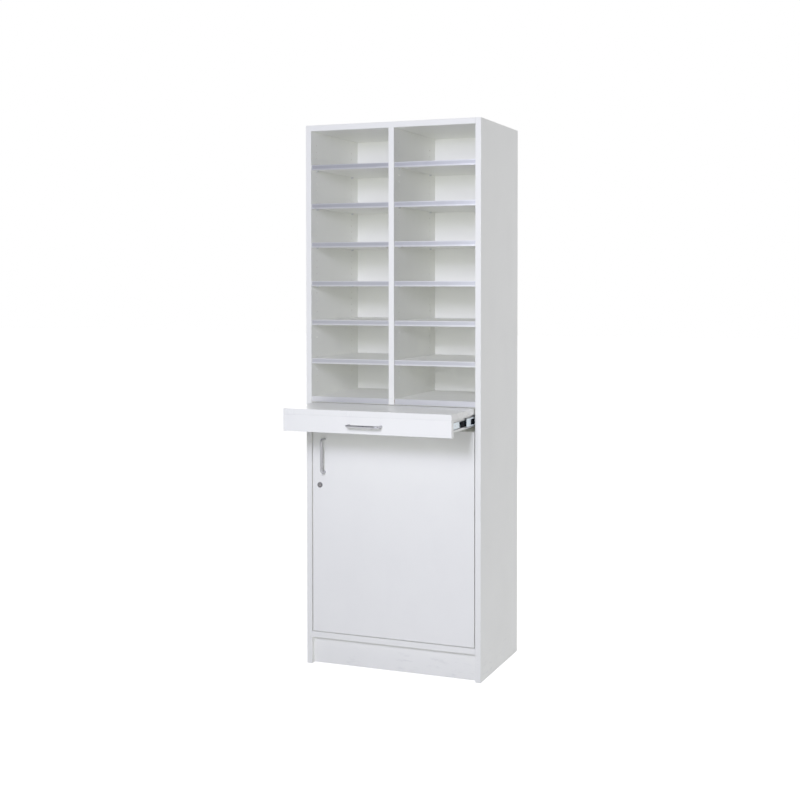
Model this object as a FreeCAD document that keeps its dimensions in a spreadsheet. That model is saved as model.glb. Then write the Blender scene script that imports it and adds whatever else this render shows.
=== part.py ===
import FreeCAD, Part
import math
import os
import re
import Sketcher
from FreeCAD import Placement, Rotation, Vector

# Pigeonhole mail sorter: a tall cabinet of coated board. Two columns of adjustable
# pigeonholes stand over a pull-out writing tray on ball-bearing slides and a cupboard
# with an inset, lockable door.
# Frame: the origin is at floor level in the middle of the cabinet's footprint, X to the
# right, the front faces -Y, Z up. All sizes are in millimetres. The tray stands partly
# out and the door is shut and unlocked.

ROWS = 7
DRIVING_SIZES = {
    # carcass
    "overall_width": 720,
    "overall_depth": 450,
    "overall_height": 2100,
    "board": 22,
    "edge_radius": 1,
    "plinth_height": 105,
    "plinth_board": 18,
    "plinth_set_back": 20,
    "plinth_floor_gap": 2,
    "back_board": 8,
    "back_inset": 10,
    "groove_depth": 8,
    "groove_clearance": 0.2,
    "back_screw": 3.5,
    "back_screw_head": 7,
    "back_screw_length": 25,
    # inset fronts
    "side_gap": 4,
    "front_gap": 3,
    "front_set_back": 2,
    "door_height": 807,
    "door_board": 18,
    "cupboard_top_set_back": 28,
    # glued dowels
    "dowel": 8,
    "dowel_clearance": 0.1,
    "dowel_in_face": 12,
    "dowel_in_end": 20,
    "dowel_end_room": 1,
    "dowel_edge": 60,
    "plinth_dowel_edge": 28,
    # pigeonhole shelves and their pins
    "shelf_board": 18,
    "shelf_side_clearance": 1,
    "shelf_rear_clearance": 2,
    "shelf_drop": 2,
    "pin_hole": 5,
    "pin_clearance": 0.1,
    "pin_hole_depth": 9,
    "pin_in_hole": 8.5,
    "pin_out": 8,
    "pin_collar": 8,
    "pin_collar_width": 0.8,
    "hole_pitch": 25,
    "hole_margin": 45,
    "front_hole_row": 50,
    "rear_hole_row": 60,
    "cupboard_shelf_set_back": 40,
    # label strips
    "strip_set_back": 3,
    "strip_height": 20,
    "strip_depth": 4,
    "strip_wall": 1.4,
    "strip_lip": 3,
    "strip_lower_lip": 5.5,
    "strip_hook": 1,
    "tongue_depth": 7,
    "tongue_height": 1.8,
    "kerf_clearance": 0.2,
    "kerf_end_room": 0.5,
    # writing tray
    "tray_front_height": 84,
    "tray_board": 22,
    "tray_shown_out": 242,
    "tray_rear_clearance": 7,
    "bearer_board": 16,
    "bearer_height": 47,
    # ball-bearing slides
    "slide_height": 45,
    "slide_space": 12.7,
    "slide_start": 26,
    "slide_drop": 1.5,
    "slide_step": 50,
    "slide_rear_room": 4,
    "slide_steel": 1.2,
    "race_gap": 3.2,
    "ball": 3,
    "cage_wall": 0.8,
    "ball_spacing": 16,
    "slide_screw_edge": 37,
    "slide_flange": 9.6,
    "slide_lip": 0.8,
    "middle_web": 3.8,
    "middle_set_back": 14,
    "outer_cage_web": 2.7,
    "inner_cage_web": 5.3,
    "inner_flange": 6.6,
    "outer_ball_place": 6.5,
    "inner_ball_place": 8,
    "lever_place": 86,
    "lever_length": 49,
    "lever_height": 23,
    "lever_nose": 14,
    "lever_depth": 4,
    "lever_gap": 0.2,
    "window_edge": 42,
    "window_length": 48,
    "window_height": 22,
    # bow handles
    "handle_centres": 128,
    "handle_bar": 10,
    "handle_standoff": 32,
    "handle_bend": 12,
    "handle_thread": 4,
    "handle_thread_depth": 12,
    "handle_hole": 4.6,
    "handle_screw_bite": 10,
    "door_handle_edge": 52,
    "door_handle_drop": 117,
    # cam lock
    "lock_edge": 31,
    "lock_drop": 233,
    "lock_rosette": 22,
    "lock_rosette_height": 2.5,
    "lock_body": 18,
    "lock_hole_clearance": 0.2,
    "lock_plug": 12,
    "lock_plug_clearance": 0.08,
    "lock_nut_width": 24,
    "lock_nut_height": 4,
    "lock_plug_sunk": 0.4,
    "lock_tail": 6,
    "lock_tail_clearance": 0.1,
    "cam_width": 14,
    "cam_thickness": 2,
    "cam_bite": 7,
    "cam_room": 1.5,
    "keyway_width": 2.2,
    "keyway_height": 7.5,
    "keyway_depth": 8,
    "cam_gap": 0.3,
    "cam_screw": 3,
    "cam_screw_length": 9,
    # concealed hinges
    "hinge_from_end": 100,
    "cup": 35,
    "cup_clearance": 0.1,
    "cup_depth": 13,
    "cup_wall": 1.6,
    "cup_floor": 0.8,
    "cup_edge": 3,
    "cup_flange": 1,
    "cup_rim": 38,
    "cup_flange_height": 58,
    "cup_flange_width": 12,
    "cup_screw_spacing": 45,
    "cup_screw_offset": 9.5,
    "cup_screw": 3.5,
    "cup_screw_head": 7,
    "hinge_pin_edge": 11.5,
    "hinge_pin_depth": 9.5,
    "hinge_pin": 3,
    "hinge_eye": 5.8,
    "hinge_pin_clearance": 0.08,
    "neck": 2.5,
    "neck_width": 12,
    "neck_reach": 17.5,
    "neck_bend": 1.5,
    "arm_width": 18,
    "arm_length": 66,
    "arm_steel": 2,
    "arm_height": 12.5,
    "plate_boss_width": 13,
    "plate_base": 2,
    "plate_base_width": 34,
    "plate_base_height": 54,
    "plate_screw_line": 57,
    "plate_screw_spacing": 32,
    "system_hole": 5,
    "system_hole_depth": 12,
    "tray_screw": 3.5,
}

WORKED_OUT = {
    "inner_width": "overall_width - 2 * board",
    "inner_depth": "overall_depth - back_inset - back_board",
    "front_plane": "-overall_depth / 2",
    "inner_side": "inner_width / 2",
    "column_width": "(inner_width - board) / 2",
    "shelf_width": "column_width - 2 * shelf_side_clearance",
    "back_place": "front_plane + inner_depth",
    "groove_width": "back_board + groove_clearance",
    "back_width": "inner_width + 2 * (groove_depth - groove_clearance)",
    "back_screw_side": "inner_width / 8",
    "kerf_height": "tongue_height + kerf_clearance",
    "front_width": "inner_width - 2 * side_gap",
    "front_edge": "front_width / 2",
    # heights, from the floor up
    "cupboard_floor": "plinth_height + board",
    "door_bottom": "cupboard_floor + front_gap",
    "door_top": "door_bottom + door_height",
    "tray_bottom": "door_top + front_gap",
    "tray_top": "tray_bottom + tray_front_height",
    "tray_board_bottom": "tray_top - tray_board",
    "floor_bottom": "tray_top + front_gap",
    "floor_top": "floor_bottom + board",
    "top_underside": "overall_height - board",
    "pigeonhole_height": "top_underside - floor_top",
    # shelves stand on whole steps of the pin holes
    "shelf_pitch": "hole_pitch * round(pigeonhole_height / %d / hole_pitch)" % ROWS,
    "lowest_shelf": "floor_top + shelf_pitch - shelf_drop - shelf_board",
    "pin_axis": "lowest_shelf - pin_hole / 2",
    "holes_below": "floor((pin_axis - floor_top - hole_margin) / hole_pitch)",
    "lowest_hole": "pin_axis - holes_below * hole_pitch",
    "hole_count": "floor((top_underside - hole_margin - lowest_hole) / hole_pitch) + 1",
    "cupboard_top_under": "door_top - board",
    "cupboard_pin_axis": "(cupboard_floor + cupboard_top_under) / 2",
    "front_row": "front_plane + front_hole_row",
    "rear_row": "front_plane + inner_depth - rear_hole_row",
    "shelf_front": "front_plane + strip_set_back + strip_depth",
    "shelf_depth": "inner_depth - strip_set_back - strip_depth - shelf_rear_clearance",
    "dowel_step": "(inner_depth - 2 * dowel_edge) / 3",
    "plinth_front": "front_plane + plinth_set_back",
    # tray and slides, with the tray out as far as it stands
    "tray_front": "front_plane + front_set_back - tray_shown_out",
    "tray_depth": "inner_depth - front_set_back - tray_rear_clearance",
    "apron_height": "tray_front_height - tray_board",
    "slide_length": "slide_step * floor((inner_depth - slide_start - slide_rear_room) / slide_step)",
    "slide_front": "front_plane + slide_start",
    "slide_top": "tray_board_bottom - slide_drop",
    "slide_middle_line": "slide_top - slide_height / 2",
    "slide_face": "inner_side - slide_space",
    "middle_half": "slide_height / 2 - slide_steel - race_gap",
    "inner_half": "middle_half - slide_steel - race_gap",
    "outer_ball_line": "slide_height / 2 - slide_steel - race_gap / 2",
    "inner_ball_line": "middle_half - slide_steel - race_gap / 2",
    "slide_screw_step": "(slide_length - 2 * slide_screw_edge) / 2",
    "bearer_length": "slide_start - front_set_back - tray_board + slide_length",
    "cage_length": "0.42 * slide_length",
    "cage_start": "(slide_length - cage_length) / 2",
    # fronts
    "door_face": "front_plane + front_set_back",
    "door_back": "door_face + door_board",
    "door_handle_line": "door_handle_edge - front_edge",
    "door_handle_middle": "door_top - door_handle_drop",
    "tray_handle_middle": "tray_bottom + apron_height / 2",
    "lock_line": "lock_edge - front_edge",
    "lock_middle": "door_top - lock_drop",
    "lock_length": "door_board + lock_nut_height + 2",
    "cam_place": "door_face + lock_length + cam_gap",
    "cam_reach": "lock_edge + side_gap + cam_bite",
    "cam_slot_below": "sqrt(cam_reach ^ 2 - (lock_edge + side_gap) ^ 2) + 2 * cam_room",
    "hinge_pin_line": "front_edge - hinge_pin_edge",
    "hinge_pin_place": "door_face + hinge_pin_depth",
    "cup_line": "front_edge - cup_edge - cup / 2",
    "hinge_pin_outer": "hinge_pin_line - cup_line + hinge_pin / 2",
    "hinge_pin_length": "2 * sqrt((cup / 2 - cup_clearance) ^ 2 - hinge_pin_outer ^ 2)",
    "lower_hinge": "door_bottom + hinge_from_end",
    "upper_hinge": "door_top - hinge_from_end",
    "plate_line": "front_plane + plate_screw_line",
    "arm_place": "inner_side - arm_height - hinge_pin_line",
}

FUNCTION_WORDS = {"round", "floor", "sqrt"}
LONG_EDGE = 30
HALF_TURN = math.pi

DOC = FreeCAD.newDocument("mail_sorter")
SHEET = DOC.addObject("Spreadsheet::Sheet", "Sizes")
NODES = []
CUTS = []


def fill_sheet():
    """Write the driving sizes as plain numbers and the places worked out from them."""
    cells = {alias: str(number) for alias, number in DRIVING_SIZES.items()}
    cells.update({alias: "=" + formula for alias, formula in WORKED_OUT.items()})
    for row, (alias, content) in enumerate(cells.items(), start=1):
        SHEET.set("A%d" % row, alias)
        SHEET.set("B%d" % row, content)
        SHEET.setAlias("B%d" % row, alias)
    DOC.recompute()


def sized(formula):
    """The formula with each size's name pointing at the sheet."""
    def point(word):
        name = word.group()
        return name if name in FUNCTION_WORDS else "Sizes." + name
    return re.sub(r"[a-z][a-z_]*", point, formula)


def bind(item, setting, formula):
    item.setExpression(setting, sized(formula))


def number(formula):
    """The value of a formula, read through a spare cell of the sheet."""
    SHEET.set("D1", "=" + formula)
    SHEET.recompute()
    return float(SHEET.get("D1"))


def place(item, x, y, z):
    for axis, formula in zip("xyz", (x, y, z)):
        bind(item, "Placement.Base." + axis, formula)


def node(item, label):
    """Name the item as one of the cabinet's pieces."""
    item.Label = label
    NODES.append(item)
    return item


# ---------------------------------------------------------------- sketches and features

def origin_feature(body, role):
    return next(item for item in body.Origin.OriginFeatures if item.Role == role)


def new_body(label, x, y, z, listed=True):
    body = DOC.addObject("PartDesign::Body", label)
    body.AllowCompound = True
    place(body, x, y, z)
    if listed:
        node(body, label)
    return body


def new_sketch(body, name, role, offset="0"):
    sketch = body.newObject("Sketcher::SketchObject", name)
    sketch.AttachmentSupport = (origin_feature(body, role), [""])
    sketch.MapMode = "FlatFace"
    bind(sketch, "AttachmentOffset.Base.z", offset)
    return sketch


def fix_point(sketch, shape, point, x, y):
    """Hold a sketch point at distances from the sketch's origin."""
    for kind, axis, formula in (("DistanceX", -2, x), ("DistanceY", -1, y)):
        length = number(formula)
        if abs(length) < 1e-9:
            sketch.addConstraint(Sketcher.Constraint("PointOnObject", shape, point, axis))
            continue
        if length > 0:
            rule = Sketcher.Constraint(kind, -1, 1, shape, point, length)
        else:
            rule = Sketcher.Constraint(kind, shape, point, -1, 1, -length)
            formula = "-(%s)" % formula
        held = sketch.addConstraint(rule)
        bind(sketch, "Constraints[%d]" % held, formula)


def add_outline(sketch, corners):
    """A closed outline of straight lines through the corners, each held in place."""
    spots = [Vector(number(x), number(y), 0) for x, y in corners]
    lines = []
    for spot, following in zip(spots, spots[1:] + spots[:1]):
        lines.append(sketch.addGeometry(Part.LineSegment(spot, following), False))
    for line, following in zip(lines, lines[1:] + lines[:1]):
        sketch.addConstraint(Sketcher.Constraint("Coincident", line, 2, following, 1))
    for line, (x, y) in zip(lines, corners):
        fix_point(sketch, line, 1, x, y)


def add_rectangle(sketch, x, y, width, height):
    right = width if x == "0" else "%s + %s" % (x, width)
    top = height if y == "0" else "%s + %s" % (y, height)
    add_outline(sketch, [(x, y), (right, y), (right, top), (x, top)])


def add_circles(sketch, centres, diameter):
    for x, y in centres:
        spot = Vector(number(x), number(y), 0)
        circle = sketch.addGeometry(Part.Circle(spot, Vector(0, 0, 1), number(diameter) / 2), False)
        fix_point(sketch, circle, 3, x, y)
        held = sketch.addConstraint(Sketcher.Constraint("Diameter", circle, number(diameter)))
        bind(sketch, "Constraints[%d]" % held, diameter)


def pad(body, sketch, length, reverse=False):
    feature = body.newObject("PartDesign::Pad", sketch.Name + "_pad")
    feature.Profile = sketch
    feature.Reversed = reverse
    bind(feature, "Length", length)
    sketch.Visibility = False
    return feature


def pocket(body, sketch, depth, reverse=False):
    feature = body.newObject("PartDesign::Pocket", sketch.Name + "_pocket")
    feature.Profile = sketch
    feature.Reversed = reverse
    bind(feature, "Length", depth)
    CUTS.append(feature)
    return feature


def repeat(body, features, axis, length, count):
    """Copies of features at even steps along one of the body's axes."""
    pattern = body.newObject("PartDesign::LinearPattern", features[0].Name + "_row")
    pattern.Originals = features
    pattern.Direction = (origin_feature(body, axis), [""])
    bind(pattern, "Length", length)
    bind(pattern, "Occurrences", count)
    body.Tip = pattern
    return pattern


def round_edges(body, chosen, radius):
    """Round the edges of the body that the test picks."""
    base = body.Tip
    names = ["Edge%d" % count for count, edge in enumerate(base.Shape.Edges, start=1) if chosen(edge)]
    feature = body.newObject("PartDesign::Fillet", "%s_round_%d" % (body.Name, len(body.Group)))
    feature.Base = (base, names)
    bind(feature, "Radius", radius)


class Board:
    """A rectangular panel whose low corner is its own origin. Holes and grooves are
    given by their places in the cabinet, so that they line up with what fits in them."""

    SKETCH_PLANES = {
        "left": ("YZ_Plane", 0, True), "right": ("YZ_Plane", 0, False),
        "front": ("XZ_Plane", 1, False), "back": ("XZ_Plane", 1, True),
        "bottom": ("XY_Plane", 2, True), "top": ("XY_Plane", 2, False),
    }

    def __init__(self, label, corner, size):
        self.corner = corner
        self.size = size
        self.body = new_body(label, *corner)
        sketch = new_sketch(self.body, label + "_outline", "XY_Plane")
        add_rectangle(sketch, "0", "0", size[0], size[1])
        pad(self.body, sketch, size[2])

    def soften(self, *faces):
        """Round the long edges of the given faces, as their edge bands are rounded."""
        DOC.recompute()
        levels = {"left": (0, "0"), "right": (0, self.size[0]), "front": (1, "0"),
                  "back": (1, self.size[1]), "bottom": (2, "0"), "top": (2, self.size[2])}
        planes = [(levels[face][0], number(levels[face][1])) for face in faces]

        def chosen(edge):
            ends = [vertex.Point for vertex in edge.Vertexes]
            return edge.Length > LONG_EDGE and any(
                all(abs(end[axis] - level) < 0.01 for end in ends) for axis, level in planes)
        round_edges(self.body, chosen, "edge_radius")

    def face_sketch(self, name, face):
        role, across, reverse = self.SKETCH_PLANES[face]
        offset = {"right": self.size[0], "top": self.size[2], "back": "-(%s)" % self.size[1]}
        title = "%s_%s" % (self.body.Name, name)
        return new_sketch(self.body, title, role, offset.get(face, "0")), across, reverse

    def on_face(self, across, spot):
        """Sketch coordinates of a place that is given along the face's two axes."""
        axes = [axis for axis in range(3) if axis != across]
        return ["%s - (%s)" % (along, self.corner[axis]) for along, axis in zip(spot, axes)]

    def drill(self, name, face, centres, diameter, depth):
        sketch, across, reverse = self.face_sketch(name, face)
        add_circles(sketch, [self.on_face(across, spot) for spot in centres], diameter)
        return pocket(self.body, sketch, depth, reverse)

    def rout(self, name, face, spot, width, height, depth):
        sketch, across, reverse = self.face_sketch(name, face)
        x, y = self.on_face(across, spot)
        add_rectangle(sketch, x, y, width, height)
        return pocket(self.body, sketch, depth, reverse)


# ---------------------------------------------------------------- solids for fasteners

def values(*formulas):
    return [number(formula) for formula in formulas]


def turned(outline):
    """A solid turned about +Z from its half outline of (radius, height) points."""
    points = [Vector(radius, 0, height) for radius, height in outline]
    face = Part.Face(Part.makePolygon(points + points[:1]))
    return face.revolve(Vector(0, 0, 0), Vector(0, 0, 1), 360)


def cross_recess(screw, head_top, span, depth):
    """Sink a cross for the driver into a screw's head, from its top inwards along +Z."""
    for length, breadth in ((span, span / 4), (span / 4, span)):
        corner = Vector(-length / 2, -breadth / 2, head_top)
        screw = screw.cut(Part.makeBox(length, breadth, depth, corner))
    return screw


def pan_screw(head, head_height, shank, length):
    """A screw whose head rests on z = 0 and whose shank points up."""
    edge = head_height / 3
    blank = turned([(0, -head_height), (head / 2 - edge, -head_height), (head / 2, edge - head_height),
                    (head / 2, 0), (shank / 2, 0), (shank / 2, length), (0, length)])
    return cross_recess(blank, -head_height, head / 2, 0.75 * head_height)


def sunk_screw(head, shank, length):
    """A countersunk screw, its flat top on z = 0 and its shank pointing up."""
    blank = turned([(0, 0), (head / 2, 0), (shank / 2, (head - shank) / 2), (shank / 2, length),
                    (0, length)])
    return cross_recess(blank, 0, head / 2, 0.8 * (head - shank) / 2)


def group(label, solid, places):
    """Copies of a solid made along +Z, at places of (spot, direction), under one name."""
    copies = []
    for spot, direction in places:
        copy = solid.copy()
        turn = Rotation(Vector(0, 0, 1), Vector(*direction))
        copy.Placement = Placement(Vector(*values(*spot)), turn)
        copies.append(copy)
    item = DOC.addObject("Part::Feature", label)
    item.Shape = Part.makeCompound(copies)
    return node(item, label)


def together(label, items):
    """Several solids that share one name."""
    item = DOC.addObject("Part::Compound", label)
    item.Links = items
    return node(item, label)


def mirrored(label, source):
    """The same piece on the other side of the cabinet."""
    item = DOC.addObject("Part::Mirroring", label)
    item.Source = source
    item.Normal = Vector(1, 0, 0)
    return node(item, label)


# ---------------------------------------------------------------- carcass

LEFTWARDS, RIGHTWARDS = (-1, 0, 0), (1, 0, 0)
FORWARDS, BACKWARDS = (0, -1, 0), (0, 1, 0)
UPWARDS = (0, 0, 1)
INNER_FACE = {"left": "right", "right": "left"}
DOWEL_HOLE = "dowel + dowel_clearance"
IN_FACE = "dowel_in_face + dowel_end_room"
IN_END = "dowel_in_end + dowel_end_room"
DOWEL_LINES = ["front_plane + dowel_edge + %d * dowel_step" % count for count in range(4)]


def side_panels():
    panels = {}
    for side, x in (("left", "-overall_width / 2"), ("right", "inner_side")):
        panel = Board(side + "_side_panel", (x, "front_plane", "0"),
                      ("board", "overall_depth", "overall_height"))
        panel.soften("front", "back")
        inner = INNER_FACE[side]
        panel.rout("back_groove", inner, ("back_place", "plinth_height"), "groove_width",
                   "top_underside + groove_depth - plinth_height", "groove_depth")
        pin_holes(panel, inner, "lowest_hole", "hole_count")
        pin_holes(panel, inner, "cupboard_pin_axis - 2 * hole_pitch", "5")
        panel.drill("slide_holes", inner, [(line, "slide_middle_line") for line in slide_screw_lines("0")],
                    "system_hole", "system_hole_depth")
        panels[side] = panel
    return panels


def pin_holes(board, face, lowest, count):
    """Two upright rows of pin holes in a board's face."""
    name = "pins_%s_%d" % (face, len(board.body.Group))
    pair = board.drill(name, face, [("front_row", lowest), ("rear_row", lowest)],
                       "pin_hole", "pin_hole_depth")
    repeat(board.body, [pair], "Z_Axis", "hole_pitch * (%s - 1)" % count, count)


def dowel_joint(board, face, mate, mate_face, centres):
    """Dowel holes in a board's end and, at the same places, in the face it meets."""
    board.drill("dowels_" + face, face, centres, DOWEL_HOLE, IN_END)
    mate.drill("%s_dowels" % board.body.Name, mate_face, centres, DOWEL_HOLE, IN_FACE)


def level_board(label, front, bottom, depth, panels, dowels):
    """A board between the sides, dowelled to both."""
    board = Board(label, ("-inner_side", front, bottom), ("inner_width", depth, "board"))
    board.soften("front")
    centres = [(line, "%s + board / 2" % bottom) for line in DOWEL_LINES]
    for side, panel in panels.items():
        dowel_joint(board, side, panel, INNER_FACE[side], centres)
        dowels += end_dowels(side, centres)
    return board


def end_dowels(side, centres):
    start, direction = {
        "left": ("-inner_side - dowel_in_face", RIGHTWARDS),
        "right": ("inner_side + dowel_in_face", LEFTWARDS),
    }[side]
    return [((start, y, z), direction) for y, z in centres]


def build_carcass():
    dowels = []
    panels = side_panels()
    top = level_board("top_panel", "front_plane", "top_underside", "overall_depth", panels, dowels)
    top.rout("back_groove", "bottom", ("-inner_side", "back_place"), "inner_width", "groove_width",
             "groove_depth")
    bottom = level_board("bottom_panel", "front_plane", "plinth_height", "inner_depth", panels, dowels)
    floor = level_board("pigeonhole_floor", "front_plane", "floor_bottom", "inner_depth", panels, dowels)
    set_back_for_strips(floor)
    ceiling = level_board("cupboard_top_panel", "front_plane + cupboard_top_set_back",
                          "cupboard_top_under", "inner_depth - cupboard_top_set_back", panels, dowels)

    plinth = Board("plinth_board", ("-inner_side", "plinth_front", "plinth_floor_gap"),
                   ("inner_width", "plinth_board", "plinth_height - plinth_floor_gap"))
    centres = [("plinth_front + plinth_board / 2", z)
               for z in ("plinth_dowel_edge", "plinth_height - plinth_dowel_edge")]
    for side, panel in panels.items():
        dowel_joint(plinth, side, panel, INNER_FACE[side], centres)
        dowels += end_dowels(side, centres)

    divider = Board("centre_divider", ("-board / 2", "front_plane", "floor_top"),
                    ("board", "inner_depth", "pigeonhole_height"))
    divider.soften("front")
    for face in ("left", "right"):
        pin_holes(divider, face, "lowest_hole", "hole_count")
    centres = [("0", line) for line in DOWEL_LINES]
    dowel_joint(divider, "bottom", floor, "top", centres)
    dowel_joint(divider, "top", top, "bottom", centres)
    dowels += [(("0", line, "floor_top - dowel_in_face"), UPWARDS) for line in DOWEL_LINES]
    dowels += [(("0", line, "top_underside - dowel_in_end"), UPWARDS) for line in DOWEL_LINES]
    group("carcass_dowels", dowel_solid("dowel_in_face"), dowels)

    build_back(bottom, floor, ceiling, divider)
    return panels


def set_back_for_strips(floor):
    """Cut the pigeonhole floor's front back in both columns, in line with the shelves, and
    saw the kerfs for its two label strips. Its full depth is left under the divider."""
    for side, start in COLUMNS.items():
        floor.rout("set_back_" + side, "front", (start, "floor_bottom"), "column_width", "board",
                   "strip_set_back + strip_depth")
        floor.rout("kerf_" + side, "front", (start, "floor_top - shelf_board / 2 - kerf_height / 2"),
                   "column_width", "kerf_height",
                   "strip_set_back + strip_depth + tongue_depth + kerf_end_room")


def dowel_solid(in_face):
    radius, length = values("dowel / 2", in_face + " + dowel_in_end")
    return turned([(0, 0), (radius - 0.8, 0), (radius, 1), (radius, length - 1),
                   (radius - 0.8, length), (0, length)])


def build_back(bottom, floor, ceiling, divider):
    """The back panel in its grooves, screwed to the rear edges of the inner boards."""
    back = Board("back_panel", ("-back_width / 2", "back_place", "plinth_height"),
                 ("back_width", "back_board",
                  "top_underside + groove_depth - groove_clearance - plinth_height"))
    lines = ["%d * back_screw_side" % times for times in (-3, -1, 1, 3)]
    seats = {
        bottom: [(x, "plinth_height + board / 2") for x in lines],
        ceiling: [(x, "cupboard_top_under + board / 2") for x in lines],
        floor: [(x, "floor_bottom + board / 2") for x in lines],
        divider: [("0", "floor_top + %d * pigeonhole_height / 8" % times) for times in (1, 3, 5, 7)],
    }
    for board, centres in seats.items():
        board.drill("back_screws", "back", centres, "back_screw", "back_screw_length")
    centres = sum(seats.values(), [])
    sketch, across = back.face_sketch("screw_holes", "back")[:2]
    add_circles(sketch, [back.on_face(across, spot) for spot in centres], "back_screw")
    DOC.recompute()
    hole = back.body.newObject("PartDesign::Hole", "screw_holes")
    hole.Profile = sketch
    hole.Reversed = True
    hole.DepthType = "ThroughAll"
    bind(hole, "Diameter", "back_screw + 0.2")
    hole.HoleCutType = "Countersink"
    bind(hole, "HoleCutDiameter", "back_screw_head + 0.4")
    hole.HoleCutCountersinkAngle = 90
    CUTS.append(hole)
    head, shank, length = values("back_screw_head", "back_screw", "back_screw_length")
    group("back_panel_screws", sunk_screw(head, shank, length),
          [((x, "back_place + back_board - 0.1", z), FORWARDS) for x, z in centres])


# ---------------------------------------------------------------- pigeonholes

COLUMNS = {"left": "-inner_side", "right": "board / 2"}


def pin_solid():
    shank, hole, collar, width, within, out = values(
        "(pin_hole - pin_clearance) / 2", "pin_hole / 2", "pin_collar / 2", "pin_collar_width",
        "pin_in_hole", "pin_out")
    return turned([(0, -within), (shank - 0.5, -within), (shank, 0.5 - within), (shank, 0), (collar, 0),
                   (collar, width), (hole, width), (hole, out - 0.5), (hole - 0.5, out), (0, out)])


def pins_under(left, right, axis):
    """The four pins that carry a shelf between two faces."""
    places = []
    for row in ("front_row", "rear_row"):
        places += [((left, row, axis), RIGHTWARDS), ((right, row, axis), LEFTWARDS)]
    return places


def build_shelves():
    pins = []
    for side, start in COLUMNS.items():
        left = "%s + shelf_side_clearance" % start
        for count in range(ROWS - 1):
            bottom = "lowest_shelf + %d * shelf_pitch" % count
            shelf = Board("pigeonhole_shelf_%s_%d" % (side, count + 1), (left, "shelf_front", bottom),
                          ("shelf_width", "shelf_depth", "shelf_board"))
            shelf.rout("kerf", "front", (left, "%s + (shelf_board - kerf_height) / 2" % bottom),
                       "shelf_width", "kerf_height", "tongue_depth + kerf_end_room")
            pins += pins_under(start, "%s + column_width" % start,
                               "pin_axis + %d * shelf_pitch" % count)
        label_strips(side, left)
    pins += pins_under("-inner_side", "inner_side", "cupboard_pin_axis")
    group("shelf_pins", pin_solid(), pins)
    low = Board("cupboard_shelf",
                ("-inner_side + shelf_side_clearance", "front_plane + cupboard_shelf_set_back",
                 "cupboard_pin_axis + pin_hole / 2"),
                ("inner_width - 2 * shelf_side_clearance",
                 "inner_depth - cupboard_shelf_set_back - shelf_rear_clearance", "shelf_board"))
    low.soften("front")


def label_strips(side, left):
    """The extruded label holders along the edges of one column's floor and shelves: a wall
    with two lips and a tongue that is pressed into the board's kerf."""
    label = "label_strips_%s_column" % side
    body = new_body(label, left, "front_plane + strip_set_back", "floor_top - strip_height")
    middle = "strip_height - shelf_board / 2"
    wall = "strip_depth - strip_wall"
    tongue = "strip_depth + tongue_depth"
    outline = [
        ("0", "0"), ("strip_depth", "0"),
        ("strip_depth", middle + " - tongue_height / 2"), (tongue, middle + " - tongue_height / 2"),
        (tongue, middle + " + tongue_height / 2"), ("strip_depth", middle + " + tongue_height / 2"),
        ("strip_depth", "strip_height"), ("0", "strip_height"),
        ("0", "strip_height - strip_lip"), ("strip_hook", "strip_height - strip_lip"),
        ("strip_hook", "strip_height - strip_wall"), (wall, "strip_height - strip_wall"),
        (wall, "strip_wall"), ("strip_hook", "strip_wall"),
        ("strip_hook", "strip_lower_lip"), ("0", "strip_lower_lip"),
    ]
    on_floor = new_sketch(body, label + "_floor_outline", "YZ_Plane")
    add_outline(on_floor, outline)
    pad(body, on_floor, "shelf_width")
    on_shelf = new_sketch(body, label + "_shelf_outline", "YZ_Plane")
    add_outline(on_shelf, [(y, z + " + lowest_shelf + shelf_board - floor_top") for y, z in outline])
    strip = pad(body, on_shelf, "shelf_width")
    repeat(body, [strip], "Z_Axis", "%d * shelf_pitch" % (ROWS - 2), str(ROWS - 1))


# ---------------------------------------------------------------- ball-bearing slides

def slide_screw_lines(shift):
    """Where the screws stand along a slide whose front end is moved out by the shift."""
    return ["slide_front - %s + slide_screw_edge + %d * slide_screw_step" % (shift, count)
            for count in range(3)]


def slide_member(name, shift, start, length, outline, listed=True):
    """A rolled channel of the right slide, its outline given as (inwards, up) from the
    middle of the side panel's inner face."""
    front = "slide_front - %s" % shift if start == "0" else "slide_front - %s + %s" % (shift, start)
    body = new_body(name, "inner_side", front, "slide_middle_line", listed)
    sketch = new_sketch(body, name + "_outline", "XZ_Plane")
    add_outline(sketch, [("-(%s)" % inwards, up) for inwards, up in outline])
    pad(body, sketch, length, reverse=True)
    return body


def channel(near, far, half, wall, inwards="+"):
    """Outline of a channel whose web is at near and whose flanges reach to far."""
    web = "%s %s %s" % (near, inwards, wall)
    inner = "%s - %s" % (half, wall)
    return [(near, "-(%s)" % half), (far, "-(%s)" % half), (far, "-(%s)" % inner),
            (web, "-(%s)" % inner), (web, inner), (far, inner), (far, half), (near, half)]


def bore_web(body, first):
    """Screw holes across a slide member's web, which starts that far from the side panel."""
    sketch = new_sketch(body, body.Name + "_holes", "YZ_Plane", "-(%s)" % first)
    add_circles(sketch, [("slide_screw_edge + %d * slide_screw_step" % count, "0")
                         for count in range(3)], "system_hole")
    pocket(body, sketch, "slide_steel")


def cut_windows(body):
    """The windows near both ends of the middle member, which let a screwdriver through."""
    sketch = new_sketch(body, body.Name + "_windows", "YZ_Plane", "-(middle_web)")
    for start in ("window_edge", "slide_length - middle_set_back - window_edge - window_length"):
        add_rectangle(sketch, start, "-window_height / 2", "window_length", "window_height")
    pocket(body, sketch, "slide_steel")


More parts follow.
